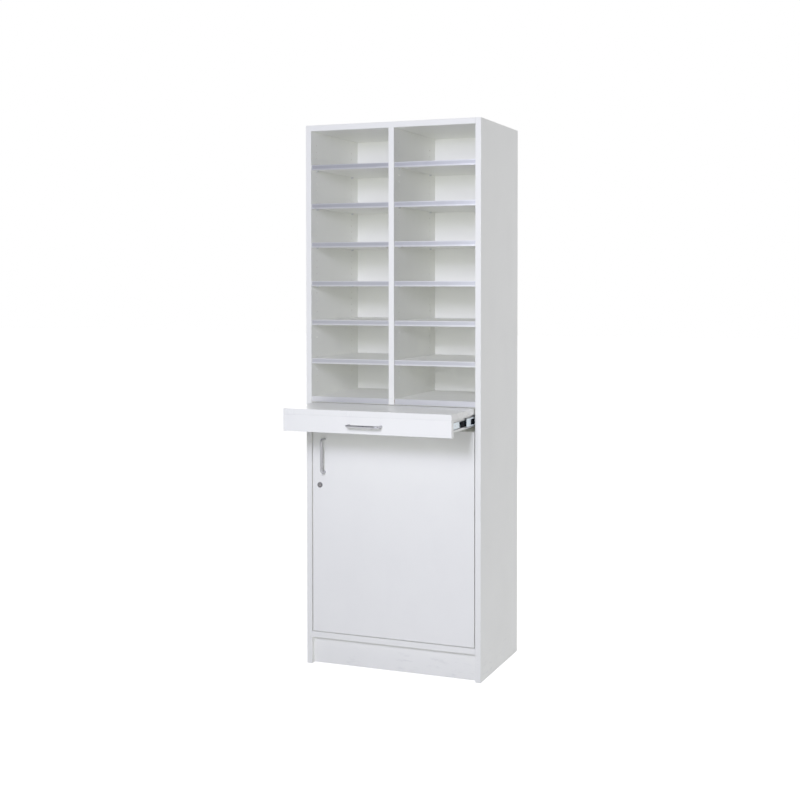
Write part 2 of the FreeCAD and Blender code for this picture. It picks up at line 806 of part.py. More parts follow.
def ball_cage(label, shift, near, far, ball_across, ball_up):
    """A pressed cage with its two rows of balls, each ball loose in its hole."""
    name = label + "_strip"
    half = "%s + cage_wall / 2" % ball_up
    cage = slide_member(name, shift, "cage_start", "cage_length",
                        channel(near, far, half, "cage_wall"), listed=False)
    sketch = new_sketch(cage, name + "_hole", "XY_Plane", "-(%s) - 1" % half)
    add_circles(sketch, [("-(%s)" % ball_across, "ball_spacing / 2")], "ball + 0.1")
    hole = pocket(cage, sketch, "2 * (%s) + 2" % half, reverse=True)
    count = int(number("floor(cage_length / ball_spacing)"))
    repeat(cage, [hole], "Y_Axis", "ball_spacing * %d" % (count - 1), str(count))
    radius = number("ball / 2")
    balls = []
    for line in range(count):
        for side in (-1, 1):
            spot = values("inner_side - (%s)" % ball_across,
                          "slide_front - %s + cage_start + ball_spacing * %s" % (shift, line + 0.5),
                          "slide_middle_line + %d * (%s)" % (side, ball_up))
            balls.append(Part.makeSphere(radius, Vector(*spot)))
    loose = DOC.addObject("Part::Feature", label + "_balls")
    loose.Shape = Part.makeCompound(balls)
    return together(label + "_right", [cage, loose])


def build_slides():
    """The right slide is drawn and the left one mirrored from it."""
    half = "slide_height / 2"
    flange = "slide_height / 2 - slide_steel"
    lip = "slide_flange - slide_steel"
    outer = slide_member("slide_outer_right", "0", "0", "slide_length", [
        ("0", "-(%s)" % half), ("slide_flange", "-(%s)" % half),
        ("slide_flange", "-(%s) + slide_lip" % flange), (lip, "-(%s) + slide_lip" % flange),
        (lip, "-(%s)" % flange), ("slide_steel", "-(%s)" % flange), ("slide_steel", flange),
        (lip, flange), (lip, "%s - slide_lip" % flange), ("slide_flange", "%s - slide_lip" % flange),
        ("slide_flange", half), ("0", half)])
    bore_web(outer, "0")
    middle = slide_member("slide_middle_right", "tray_shown_out / 2", "middle_set_back",
                          "slide_length - middle_set_back",
                          channel("middle_web", "slide_space - 1.7", "middle_half", "slide_steel"))
    cut_windows(middle)
    inner = slide_member("slide_inner_right", "tray_shown_out", "0", "slide_length",
                         channel("slide_space", "inner_flange", "inner_half", "slide_steel", "-"))
    bore_web(inner, "slide_space - slide_steel")
    cages = [
        ball_cage("outer_ball_cage", "tray_shown_out / 4", "outer_cage_web", "slide_flange - 1",
                  "outer_ball_place", "outer_ball_line"),
        ball_cage("inner_ball_cage", "0.75 * tray_shown_out", "inner_cage_web", "slide_flange",
                  "inner_ball_place", "inner_ball_line"),
    ]
    for piece in [outer, middle, inner] + cages:
        mirrored(piece.Label.replace("_right", "_left"), piece)
    build_release_levers()


def build_release_levers():
    """The black levers that let the tray be lifted off its slides."""
    body = new_body("release_lever", "slide_face + slide_steel + lever_gap",
                    "slide_front - tray_shown_out + lever_place", "slide_middle_line", listed=False)
    sketch = new_sketch(body, "lever_outline", "YZ_Plane")
    add_outline(sketch, [
        ("0", "-lever_nose / 2"), ("lever_depth", "-lever_height / 2"),
        ("lever_length", "-lever_height / 2"), ("lever_length", "lever_height / 2"),
        ("lever_depth", "lever_height / 2"), ("0", "lever_nose / 2")])
    pad(body, sketch, "lever_depth")
    other = DOC.addObject("Part::Mirroring", "release_lever_left")
    other.Source = body
    other.Normal = Vector(1, 0, 0)
    together("slide_release_levers", [body, other])


# ---------------------------------------------------------------- handles

def bow_handle(label, spot, upright):
    """A bow of round bar whose first foot stands at the spot and which reaches forwards."""
    body = DOC.addObject("PartDesign::Body", label)
    if upright:
        body.Placement = Placement(Vector(), Rotation(Vector(0, 1, 0), -90))
    place(body, *spot)
    node(body, label)
    path = new_sketch(body, label + "_path", "XY_Plane")
    far, out, bend = values("handle_centres", "handle_standoff", "handle_bend")
    lines = [
        Part.LineSegment(Vector(0, 0, 0), Vector(0, bend - out, 0)),
        Part.ArcOfCircle(Part.Circle(Vector(bend, bend - out, 0), Vector(0, 0, 1), bend),
                         HALF_TURN, 1.5 * HALF_TURN),
        Part.LineSegment(Vector(bend, -out, 0), Vector(far - bend, -out, 0)),
        Part.ArcOfCircle(Part.Circle(Vector(far - bend, bend - out, 0), Vector(0, 0, 1), bend),
                         1.5 * HALF_TURN, 2 * HALF_TURN),
        Part.LineSegment(Vector(far, bend - out, 0), Vector(far, 0, 0)),
    ]
    for line in lines:
        path.addGeometry(line, False)
    for first in range(4):
        path.addConstraint(Sketcher.Constraint("Tangent", first, 2, first + 1, 1))
    path.addConstraint(Sketcher.Constraint("Vertical", 0))
    path.addConstraint(Sketcher.Constraint("Horizontal", 2))
    path.addConstraint(Sketcher.Constraint("Vertical", 4))
    path.addConstraint(Sketcher.Constraint("Equal", 1, 3))
    fix_point(path, 0, 1, "0", "0")
    fix_point(path, 4, 2, "handle_centres", "0")
    held = path.addConstraint(Sketcher.Constraint("Radius", 1, bend))
    bind(path, "Constraints[%d]" % held, "handle_bend")
    held = path.addConstraint(Sketcher.Constraint("DistanceY", 2, 1, -1, 1, out))
    bind(path, "Constraints[%d]" % held, "handle_standoff")
    section = new_sketch(body, label + "_section", "XZ_Plane")
    add_circles(section, [("0", "0")], "handle_bar")
    pipe = body.newObject("PartDesign::AdditivePipe", label + "_bar")
    pipe.Profile = section
    pipe.Spine = path
    holes = new_sketch(body, label + "_threads", "XZ_Plane")
    add_circles(holes, [("0", "0"), ("handle_centres", "0")], "handle_thread")
    pocket(body, holes, "handle_thread_depth", reverse=True)
    return body


def handle_screws(label, feet, back, board_thickness):
    shank, length = values("handle_thread", "%s + handle_screw_bite" % board_thickness)
    group(label, pan_screw(2 * shank, 2.4, shank, length), [((x, back, z), FORWARDS) for x, z in feet])


# ---------------------------------------------------------------- writing tray

def build_tray():
    top = Board("tray_top_board", ("-front_edge", "tray_front", "tray_board_bottom"),
                ("front_width", "tray_depth", "tray_board"))
    top.soften("top", "bottom")
    apron = Board("tray_apron", ("-front_edge", "tray_front", "tray_bottom"),
                  ("front_width", "tray_board", "apron_height"))
    apron.soften("front", "back")
    back = "tray_front + tray_board"
    joints = {apron: [("%s * front_edge" % share, "tray_front + tray_board / 2")
                      for share in ("-0.85", "-0.35", "0.35", "0.85")]}
    for side, x in (("left", "-slide_face"), ("right", "slide_face - bearer_board")):
        bearer = Board("tray_bearer_" + side, (x, back, "tray_board_bottom - bearer_height"),
                       ("bearer_board", "bearer_length", "bearer_height"))
        lines = slide_screw_lines("tray_shown_out")
        bearer.drill("slide_screws", side, [(line, "slide_middle_line") for line in lines],
                     "tray_screw", "bearer_board - 2")
        joints[bearer] = [("%s + bearer_board / 2" % x, "%s + bearer_length * %s" % (back, share))
                          for share in ("0.1", "0.5", "0.9")]
    for board, centres in joints.items():
        dowel_joint(board, "top", top, "bottom", centres)
    group("tray_dowels", dowel_solid("dowel_in_face"),
          [((x, y, "tray_board_bottom - dowel_in_end"), UPWARDS)
           for x, y in sum(joints.values(), [])])

    feet = [("-handle_centres / 2", "tray_handle_middle"), ("handle_centres / 2", "tray_handle_middle")]
    apron.drill("handle_holes", "front", feet, "handle_hole", "tray_board")
    bow_handle("tray_handle", ("-handle_centres / 2", "tray_front", "tray_handle_middle"), False)
    handle_screws("tray_handle_screws", feet, back, "tray_board")

    shank, length = values("tray_screw", "slide_steel + bearer_board - 3")
    places = []
    for line in slide_screw_lines("tray_shown_out"):
        places += [(("slide_face + slide_steel", line, "slide_middle_line"), LEFTWARDS),
                   (("-slide_face - slide_steel", line, "slide_middle_line"), RIGHTWARDS)]
    group("tray_slide_screws", pan_screw(7.5, 1.2, shank, length), places)


# ---------------------------------------------------------------- cupboard door and its lock

HINGES = {"lower": "lower_hinge", "upper": "upper_hinge"}


def build_door(panels):
    door = Board("door_panel", ("-front_edge", "door_face", "door_bottom"),
                 ("front_width", "door_board", "door_height"))
    door.soften("front", "back")
    feet = [("door_handle_line", "door_handle_middle + %s * handle_centres / 2" % side)
            for side in ("-1", "1")]
    door.drill("handle_holes", "front", feet, "handle_hole", "door_board")
    door.drill("lock_hole", "front", [("lock_line", "lock_middle")],
               "lock_body + 2 * lock_hole_clearance", "door_board")
    door.drill("cup_bores", "back", [("cup_line", line) for line in HINGES.values()], "cup", "cup_depth")
    cup_screw_spots = [("cup_line - cup_screw_offset", "%s + %s * cup_screw_spacing / 2" % (line, side))
                       for line in HINGES.values() for side in ("-1", "1")]
    door.drill("cup_screws", "back", cup_screw_spots, "cup_screw", "cup_depth")
    bow_handle("door_handle", ("door_handle_line", "door_face",
                               "door_handle_middle - handle_centres / 2"), True)
    handle_screws("door_handle_screws", feet, "door_back", "door_board")
    build_lock(panels["left"])
    build_hinges(panels["right"], cup_screw_spots)


def revolve(body, sketch):
    feature = body.newObject("PartDesign::Revolution", sketch.Name + "_turned")
    feature.Profile = sketch
    feature.ReferenceAxis = (origin_feature(body, "Y_Axis"), [""])
    feature.Angle = 360
    sketch.Visibility = False
    return feature


def build_lock(panel):
    """The cam lock stands at the lock's axis on the door's face."""
    spot = ("lock_line", "door_face", "lock_middle")
    bore = "lock_plug / 2 + lock_plug_clearance"
    housing = new_body("lock_housing", *spot)
    outline = new_sketch(housing, "lock_housing_outline", "XY_Plane")
    add_outline(outline, [
        (bore, "-lock_rosette_height"), ("lock_rosette / 2 - 1", "-lock_rosette_height"),
        ("lock_rosette / 2", "1 - lock_rosette_height"), ("lock_rosette / 2", "0"),
        ("lock_body / 2", "0"), ("lock_body / 2", "lock_length"), (bore, "lock_length")])
    revolve(housing, outline)

    plug = new_body("lock_plug", *spot)
    outline = new_sketch(plug, "lock_plug_outline", "XY_Plane")
    add_outline(outline, [
        ("0", "lock_plug_sunk - lock_rosette_height"),
        ("lock_plug / 2", "lock_plug_sunk - lock_rosette_height"),
        ("lock_plug / 2", "lock_length"), ("0", "lock_length")])
    revolve(plug, outline)
    tail = new_sketch(plug, "lock_plug_tail", "XZ_Plane", "-(lock_length)")
    add_rectangle(tail, "-lock_tail / 2", "-lock_tail / 2", "lock_tail", "lock_tail")
    pad(plug, tail, "cam_gap + cam_thickness", reverse=True)
    keyway = new_sketch(plug, "keyway", "XZ_Plane", "lock_rosette_height - lock_plug_sunk")
    add_rectangle(keyway, "-keyway_width / 2", "-keyway_height / 2", "keyway_width", "keyway_height")
    pocket(plug, keyway, "keyway_depth")
    thread = new_sketch(plug, "cam_screw_hole", "XZ_Plane", "-(lock_length + cam_gap + cam_thickness)")
    add_circles(thread, [("0", "0")], "cam_screw")
    pocket(plug, thread, "cam_screw_length + 1", reverse=True)

    cam = new_body("lock_cam", "lock_line", "cam_place", "lock_middle")
    outline = new_sketch(cam, "lock_cam_outline", "XZ_Plane")
    radius, drop = values("cam_width / 2", "cam_reach - cam_width / 2")
    up = Vector(0, 0, 1)
    lines = [
        Part.ArcOfCircle(Part.Circle(Vector(0, 0, 0), up, radius), 0, HALF_TURN),
        Part.LineSegment(Vector(-radius, 0, 0), Vector(-radius, -drop, 0)),
        Part.ArcOfCircle(Part.Circle(Vector(0, -drop, 0), up, radius), HALF_TURN, 2 * HALF_TURN),
        Part.LineSegment(Vector(radius, -drop, 0), Vector(radius, 0, 0)),
    ]
    for line in lines:
        outline.addGeometry(line, False)
    for first in range(4):
        outline.addConstraint(Sketcher.Constraint("Tangent", first, 2, (first + 1) % 4, 1))
    outline.addConstraint(Sketcher.Constraint("Equal", 0, 2))
    fix_point(outline, 0, 3, "0", "0")
    fix_point(outline, 2, 3, "0", "-(cam_reach - cam_width / 2)")
    held = outline.addConstraint(Sketcher.Constraint("Radius", 0, radius))
    bind(outline, "Constraints[%d]" % held, "cam_width / 2")
    pad(cam, outline, "cam_thickness", reverse=True)
    square = new_sketch(cam, "lock_cam_hole", "XZ_Plane")
    corner = "-lock_tail / 2 - lock_tail_clearance"
    width = "lock_tail + 2 * lock_tail_clearance"
    add_rectangle(square, corner, corner, width, width)
    pocket(cam, square, "cam_thickness")

    shank, length = values("cam_screw", "cam_screw_length")
    group("cam_screw", pan_screw(8.5, 2, shank, length),
          [(("lock_line", "cam_place + cam_thickness", "lock_middle"), FORWARDS)])
    build_nut()
    panel.rout("cam_slot", "right", ("cam_place - cam_room", "lock_middle - cam_slot_below"),
               "cam_thickness + 2 * cam_room", "cam_slot_below + cam_width / 2 + 2 * cam_room",
               "cam_bite + 2 * cam_room")


def build_nut():
    """The hexagon nut that clamps the lock from inside the door."""
    turn = Placement(Vector(), Rotation(Vector(1, 0, 0), -90))
    blank = DOC.addObject("Part::Prism", "lock_nut_blank")
    blank.Polygon = 6
    bind(blank, "Circumradius", "lock_nut_width / sqrt(3)")
    bind(blank, "Height", "lock_nut_height")
    bore = DOC.addObject("Part::Cylinder", "lock_nut_bore")
    bind(bore, "Radius", "lock_body / 2")
    bind(bore, "Height", "lock_nut_height")
    nut = DOC.addObject("Part::Cut", "lock_nut")
    nut.Base = blank
    nut.Tool = bore
    nut.Placement = turn
    place(nut, "lock_line", "door_back", "lock_middle")
    node(nut, "lock_nut")


# ---------------------------------------------------------------- concealed hinges

def build_hinges(panel, cup_screw_spots):
    cups, arms, plates = [], [], []
    plate_screw_spots = []
    for name, line in HINGES.items():
        cups.append(hinge_cup(name + "_hinge_cup", line))
        arms.append(hinge_arm(name + "_hinge_arm", line))
        plates.append(mounting_plate(name + "_mounting_plate", line))
        plate_screw_spots += [("plate_line", "%s + %s * plate_screw_spacing / 2" % (line, side))
                              for side in ("-1", "1")]
    together("hinge_cups", cups)
    together("hinge_arms", arms)
    together("hinge_mounting_plates", plates)
    panel.drill("plate_screws", "left", plate_screw_spots, "system_hole", "system_hole_depth")

    radius, length = values("hinge_pin / 2", "hinge_pin_length")
    pin = Part.makeCylinder(radius, length, Vector(0, 0, -length / 2))
    group("hinge_pins", pin, [(("hinge_pin_line", "hinge_pin_place", line), UPWARDS)
                              for line in HINGES.values()])
    head, shank, length = values("cup_screw_head", "cup_screw", "cup_depth")
    group("cup_screws", pan_screw(head, 1.6, shank, length),
          [((x, "door_back + cup_flange", z), FORWARDS) for x, z in cup_screw_spots])
    places = [(("inner_side - plate_base", y, z), RIGHTWARDS) for y, z in plate_screw_spots]
    for line in slide_screw_lines("0"):
        places += [(("inner_side - slide_steel", line, "slide_middle_line"), RIGHTWARDS),
                   (("-inner_side + slide_steel", line, "slide_middle_line"), LEFTWARDS)]
    shank, length = values("system_hole", "system_hole_depth")
    group("system_screws", pan_screw(8, 1.2, shank, length), places)


def hinge_cup(name, line):
    """The cup let into the door, its flange on the door's back and its pin across it."""
    body = new_body(name, "cup_line", "door_back", line, listed=False)
    rim = new_sketch(body, name + "_rim", "XZ_Plane")
    add_circles(rim, [("0", "0")], "cup_rim")
    pad(body, rim, "cup_flange", reverse=True)
    bar = new_sketch(body, name + "_bar", "XZ_Plane")
    add_rectangle(bar, "-cup_screw_offset - cup_flange_width / 2", "-cup_flange_height / 2",
                  "cup_flange_width", "cup_flange_height")
    pad(body, bar, "cup_flange", reverse=True)
    shell = new_sketch(body, name + "_shell", "XZ_Plane")
    add_circles(shell, [("0", "0")], "cup - 2 * cup_clearance")
    pad(body, shell, "cup_depth - 2 * cup_clearance")
    hollow = new_sketch(body, name + "_hollow", "XZ_Plane", "-(cup_flange)")
    add_circles(hollow, [("0", "0")], "cup - 2 * cup_clearance - 2 * cup_wall")
    pocket(body, hollow, "cup_flange + cup_depth - 2 * cup_clearance - cup_floor", reverse=True)
    across = new_sketch(body, name + "_pin_hole", "XY_Plane", "-(cup / 2)")
    add_circles(across, [("hinge_pin_line - cup_line", "hinge_pin_place - door_back")], "hinge_pin")
    pocket(body, across, "cup", reverse=True)
    holes = new_sketch(body, name + "_screw_holes", "XZ_Plane", "-(cup_flange)")
    add_circles(holes, [("-cup_screw_offset", "-cup_screw_spacing / 2"),
                        ("-cup_screw_offset", "cup_screw_spacing / 2")], "cup_screw + 0.2")
    pocket(body, holes, "cup_flange", reverse=True)
    return body


def hinge_arm(name, line):
    """The channel that clips over the mounting plate, with a bent neck that reaches round
    the door's edge into the cup. Its own origin is the middle of the hinge pin."""
    body = new_body(name, "hinge_pin_line", "hinge_pin_place", line, listed=False)
    neck = new_sketch(body, name + "_neck", "XY_Plane", "-(neck_width / 2)")
    near, far = "neck_reach - neck / 2", "neck_reach + neck / 2"
    add_outline(neck, [
        ("0", "-neck / 2"), ("-(%s)" % far, "-neck / 2"), ("-(%s)" % far, far),
        ("arm_place + arm_steel", far), ("arm_place + arm_steel", near), ("-(%s)" % near, near),
        ("-(%s)" % near, "neck / 2"), ("0", "neck / 2")])
    pad(body, neck, "neck_width")
    bends = {"neck_bend + neck": [("-(%s)" % far, "-neck / 2"), ("-(%s)" % far, far)],
             "neck_bend": [("-(%s)" % near, "neck / 2"), ("-(%s)" % near, near)]}
    for radius, corners in bends.items():
        round_corners(body, corners, radius)
    eye = new_sketch(body, name + "_eye", "XY_Plane", "-(neck_width / 2)")
    add_circles(eye, [("0", "0")], "hinge_eye")
    pad(body, eye, "neck_width")
    rail = new_sketch(body, name + "_channel", "XZ_Plane", "-(%s)" % near)
    wall = "arm_place + arm_height - plate_base - 0.5"
    edge = "arm_width / 2"
    web = "arm_width / 2 - arm_steel"
    add_outline(rail, [
        ("arm_place", "-(%s)" % edge), (wall, "-(%s)" % edge), (wall, "-(%s)" % web),
        ("arm_place + arm_steel", "-(%s)" % web), ("arm_place + arm_steel", web), (wall, web),
        (wall, edge), ("arm_place", edge)])
    pad(body, rail, "arm_length", reverse=True)
    hole = new_sketch(body, name + "_pin_hole", "XY_Plane", "-(neck_width / 2)")
    add_circles(hole, [("0", "0")], "hinge_pin + 2 * hinge_pin_clearance")
    pocket(body, hole, "neck_width", reverse=True)
    return body


def round_corners(body, corners, radius):
    """Round the upright edges that stand at the given corners of the body."""
    DOC.recompute()
    wanted = [values(*corner) for corner in corners]

    def chosen(edge):
        first, last = edge.Vertexes[0].Point, edge.Vertexes[-1].Point
        upright = abs(first.x - last.x) + abs(first.y - last.y) < 0.001
        return upright and any(abs(first.x - x) + abs(first.y - y) < 0.01 for x, y in wanted)
    round_edges(body, chosen, radius)


def mounting_plate(name, line):
    """The plate screwed to the side panel, with the rail that the arm clips over."""
    body = new_body(name, "inner_side - plate_base", "plate_line - plate_base_width / 2", line,
                    listed=False)
    base = new_sketch(body, name + "_base", "YZ_Plane")
    add_rectangle(base, "0", "-plate_base_height / 2", "plate_base_width", "plate_base_height")
    pad(body, base, "plate_base")
    rail = new_sketch(body, name + "_rail", "YZ_Plane")
    add_rectangle(rail, "0", "-plate_boss_width / 2", "plate_base_width", "plate_boss_width")
    pad(body, rail, "arm_height - arm_steel - plate_base", reverse=True)
    holes = new_sketch(body, name + "_screw_holes", "YZ_Plane", "plate_base")
    add_circles(holes, [("plate_base_width / 2", "-plate_screw_spacing / 2"),
                        ("plate_base_width / 2", "plate_screw_spacing / 2")], "system_hole + 0.2")
    pocket(body, holes, "plate_base")
    return body


# ---------------------------------------------------------------- the whole cabinet

def check_and_export():
    DOC.recompute()
    for item in DOC.Objects:
        if {"Invalid", "Error"} & set(item.State):
            raise RuntimeError("%s: %s" % (item.Label, item.State))
    for cut in CUTS:
        if cut.Shape.Volume > cut.BaseFeature.Shape.Volume - 1:
            raise RuntimeError("%s removes nothing" % cut.Name)
    os.makedirs("parts", exist_ok=True)
    for item in NODES:
        shape = item.Shape
        if shape.isNull() or not shape.isValid():
            raise RuntimeError("%s has no sound shape" % item.Label)
        shape.exportStep("parts/%s.step" % item.Label)


fill_sheet()
side_boards = build_carcass()
build_shelves()
build_slides()
build_tray()
build_door(side_boards)
SHEET.clear("D1")
check_and_export()
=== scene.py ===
import math
import bpy
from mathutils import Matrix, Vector


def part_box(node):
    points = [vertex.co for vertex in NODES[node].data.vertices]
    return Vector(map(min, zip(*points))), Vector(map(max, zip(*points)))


# Looks of the pigeonhole mail sorter: a white coated-board cabinet with pigeonholes over a
# pull-out writing tray and a cupboard. Metres; the fronts face -Y, Z is up. Every piece is a
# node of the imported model: it keeps its shape, and gets its finish here.

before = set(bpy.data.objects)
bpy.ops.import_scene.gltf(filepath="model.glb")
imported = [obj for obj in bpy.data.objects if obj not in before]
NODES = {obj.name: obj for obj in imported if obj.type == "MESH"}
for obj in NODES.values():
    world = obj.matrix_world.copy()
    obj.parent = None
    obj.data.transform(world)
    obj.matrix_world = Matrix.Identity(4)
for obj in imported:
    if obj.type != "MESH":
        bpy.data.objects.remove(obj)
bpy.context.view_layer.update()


# ---------------------------------------------------------------- finishes

BAND = 0.001                        # thickness of the glued-on edge bands
GLUE = 0.00024                      # width of the glue line behind them
SKIN = 0.0014                       # depth below which a hole shows the chipboard core
ARRIS = 0.0022                      # how far wear reaches from a board's edges
LIP = 0.0012                        # depth of the lips in front of the label channel
LOWEST_STRIP = 0.04                 # height that holds the lowest strip of a column
BALL_STAND = 0.00115                # how far the balls stand out of their cage
RACE_EDGE = 0.0012                  # width over which the dark bands beyond a race fade out
RACES = {"outer": 0.0185, "middle": 0.0150, "inner": 0.0122}    # from a member's middle

UPRIGHT = (1.0, 1.0, 0.012)         # directions of brushing and rolling
LEVEL = (0.012, 1.0, 1.0)
ALONG_SLIDE = (1.0, 0.02, 1.0)
PRESSED = (1.0, 1.0, 0.3)

COAT = (0.908, 0.915, 0.828)        # the white of the boards
COAT_IOR = 1.48                     # of the clear melamine over it
BOARD_GLOSS = 0.46                  # roughness of the boards
TRAY_GLOSS = 0.34                   # and of the writing tray, polished by use
DUST_AMOUNT = 0.12
HANDLED = (0.6, 0.6, 0.57, 1)       # where hands and edges rub the coat
GLUE_GREY = (0.42, 0.41, 0.38, 1)
SHOE_GREY = (0.2, 0.2, 0.2, 1)
DUST_GREY = (0.55, 0.52, 0.47, 1)
CHIP_BROWN = (0.19, 0.115, 0.055, 1)
CHIP_TAN = (0.52, 0.38, 0.22, 1)
BEECH_BROWN = (0.45, 0.27, 0.13, 1)
BEECH_TAN = (0.68, 0.48, 0.28, 1)
ZINC = (0.50, 0.59, 0.65)           # of the slides
FITTING_ZINC = (0.70, 0.71, 0.74)   # of the screws, pins and hinges
# near-black of the bands beyond the slides' ball races
EDGE_BLACK = (0.012, 0.012, 0.014, 1)
LILAC = (0.60, 0.62, 0.665)         # dyed skin of the label strips
LIT_LIP_LILAC = (0.74, 0.75, 0.77)      # the same, lighter on the lips as a painted highlight
SATIN = (0.36, 0.36, 0.375)
LOCK_RING = (0.10, 0.10, 0.105)
LOCK_PLUG = (0.19, 0.18, 0.185)
PLASTIC = (0.0006, 0.0009, 0.0016)
PLASTIC_SHINE = 0.003


# ---------------------------------------------------------------- shader building

def shader_node(tree, kind, settings=(), **values):
    """A new node with its settings, its sockets filled with values or linked from others.
    A value is keyed by its socket's name, with _ for each space, or by _ and its number."""
    node = tree.nodes.new(kind)
    for name, value in dict(settings).items():
        setattr(node, name, value)
    for name, value in values.items():
        number = name[1:]
        socket = node.inputs[int(number) if number.isdigit() else name.replace("_", " ")]
        if isinstance(value, bpy.types.NodeSocket):
            tree.links.new(value, socket)
        else:
            socket.default_value = value
    return node


def numbered(values):
    return {"_%d" % number: value for number, value in enumerate(values)}


def math_node(tree, operation, *values, clamp=False):
    settings = {"operation": operation, "use_clamp": clamp}
    return shader_node(tree, "ShaderNodeMath", settings, **numbered(values)).outputs[0]


def vector_node(tree, operation, *values):
    settings = {"operation": operation}
    return shader_node(tree, "ShaderNodeVectorMath", settings, **numbered(values)).outputs[0]


def part_of(tree, mask, share):
    """A mask weakened to a share of its strength."""
    return math_node(tree, "MULTIPLY", mask, share)


def joined(tree, operation, parts):
    """One value from a list, joined two at a time."""
    total = parts[0]
    for part in parts[1:]:
        total = math_node(tree, operation, total, part)
    return total


def split(tree, vector):
    """The three parts of a vector."""
    return shader_node(tree, "ShaderNodeSeparateXYZ", {}, _0=vector).outputs


def spread(tree, value, low, high, start=0.0, end=1.0):
    """The value's range from low to high, moved to start to end and held there."""
    node = shader_node(tree, "ShaderNodeMapRange", {}, _0=value, _1=low, _2=high, _3=start, _4=end)
    return node.outputs[0]


def blend_colours(tree, share, first, second):
    node = shader_node(tree, "ShaderNodeMix", {"data_type": "RGBA"}, _0=share, _6=first, _7=second)
    return node.outputs[2]


def layered(tree, colour, *layers):
    """A colour with layers of (mask, colour) laid over it in turn."""
    for mask, over in layers:
        colour = blend_colours(tree, mask, colour, over)
    return colour


def object_place(tree):
    return tree.nodes.new("ShaderNodeTexCoord").outputs["Object"]


def noise(tree, place, scale, detail=2.0, roughness=0.5):
    node = shader_node(tree, "ShaderNodeTexNoise", {}, Vector=place, Scale=scale, Detail=detail,
                       Roughness=roughness)
    return node.outputs[0]


def streaked_noise(tree, place, stretch, detail, roughness=0.5):
    """Noise in streaks: stretch is about how many of them fit in a metre on each axis."""
    return noise(tree, vector_node(tree, "MULTIPLY", place, stretch), 1.0, detail, roughness)


def new_group(name, inputs, outputs):
    """An empty node group: inputs of (name, kind, value), outputs of (name, kind)."""
    tree = bpy.data.node_groups.new(name, "ShaderNodeTree")
    for title, kind, value in inputs:
        socket = tree.interface.new_socket(title, in_out="INPUT", socket_type="NodeSocket" + kind)
        socket.default_value = value
    for title, kind in outputs:
        tree.interface.new_socket(title, in_out="OUTPUT", socket_type="NodeSocket" + kind)
    return tree, tree.nodes.new("NodeGroupInput").outputs, tree.nodes.new("NodeGroupOutput").inputs


def use_group(tree, group, **values):
    return shader_node(tree, "ShaderNodeGroup", {"node_tree": group}, **values).outputs


# ---------------------------------------------------------------- shared effects

def make_pearl():
    """The fine pearl structure pressed into melamine coatings, with soft mottling."""
    tree, given, made = new_group(
        "Pearl coating",
        [("Grain", "Float", 900.0), ("Mottle", "Float", 3.0)],
        [("Height", "Float"), ("Tone", "Float"), ("Smudge", "Float")])
    place = object_place(tree)
    cells = shader_node(tree, "ShaderNodeTexVoronoi", {"feature": "SMOOTH_F1"}, Vector=place,
                        Scale=given["Grain"]).outputs["Distance"]
    pores = noise(tree, place, math_node(tree, "MULTIPLY", given["Grain"], 2.3), 3.0)
    tree.links.new(math_node(tree, "ADD", cells, part_of(tree, pores, 0.5)), made["Height"])
    broad = noise(tree, place, given["Mottle"], 3.0, 0.6)
    tree.links.new(spread(tree, broad, 0.3, 0.7), made["Tone"])
    wiped = streaked_noise(tree, place, (9.0, 9.0, 4.0), 5.0, 0.65)
    tree.links.new(spread(tree, wiped, 0.48, 0.7), made["Smudge"])
    return tree


def make_zones():
    """Masks of a board: the core shown by holes and raw edges, its edge bands, the glue line
    behind them, and its arrises. Flags of 1 name the banded and the raw sides on each axis."""
    none = (0, 0, 0)
    tree, given, made = new_group(
        "Board zones",
        [("Low", "Vector", none), ("High", "Vector", (1, 1, 1)),
         ("Banded low", "Vector", none), ("Banded high", "Vector", none),
         ("Raw low", "Vector", none), ("Raw high", "Vector", none)],
        [("Core", "Float"), ("Band", "Float"), ("Glue line", "Float"), ("Arris", "Float")])
    here = tree.nodes.new("ShaderNodeTexCoord").outputs
    depths = {"low": vector_node(tree, "SUBTRACT", here["Object"], given["Low"]),
              "high": vector_node(tree, "SUBTRACT", given["High"], here["Object"])}
    facing = {"low": vector_node(tree, "MULTIPLY", here["Normal"], (-1, -1, -1)),
              "high": here["Normal"]}
    depth, raw, band, line = [], [], [], []
    for side in depths:
        below, towards = split(tree, depths[side]), split(tree, facing[side])
        banded, bare = split(tree, given["Banded " + side]), split(tree, given["Raw " + side])
        for axis in range(3):
            depth.append(below[axis])
            turned = math_node(tree, "GREATER_THAN", towards[axis], 0.7)
            raw.append(math_node(tree, "MULTIPLY", turned, bare[axis]))
            within = math_node(tree, "LESS_THAN", below[axis], BAND)
            band.append(math_node(tree, "MULTIPLY", within, banded[axis]))
            at_line = math_node(tree, "COMPARE", below[axis], BAND, GLUE / 2)
            line.append(math_node(tree, "MULTIPLY", at_line, banded[axis]))
    sunk = math_node(tree, "GREATER_THAN", joined(tree, "MINIMUM", depth), SKIN)
    core = math_node(tree, "MAXIMUM", sunk, joined(tree, "MAXIMUM", raw))
    coated = math_node(tree, "SUBTRACT", 1.0, core)
    across, along, up = [math_node(tree, "MINIMUM", depth[axis], depth[axis + 3]) for axis in range(3)]
    lesser = math_node(tree, "MINIMUM", across, along)
    greater = math_node(tree, "MAXIMUM", across, along)
    second_least = math_node(tree, "MAXIMUM", lesser, math_node(tree, "MINIMUM", greater, up))
    tree.links.new(core, made["Core"])
    tree.links.new(math_node(tree, "MULTIPLY", joined(tree, "MAXIMUM", band), coated), made["Band"])
    tree.links.new(math_node(tree, "MULTIPLY", joined(tree, "MAXIMUM", line), coated), made["Glue line"])
    tree.links.new(spread(tree, second_least, 0.0, ARRIS, 1.0, 0.0), made["Arris"])
    return tree


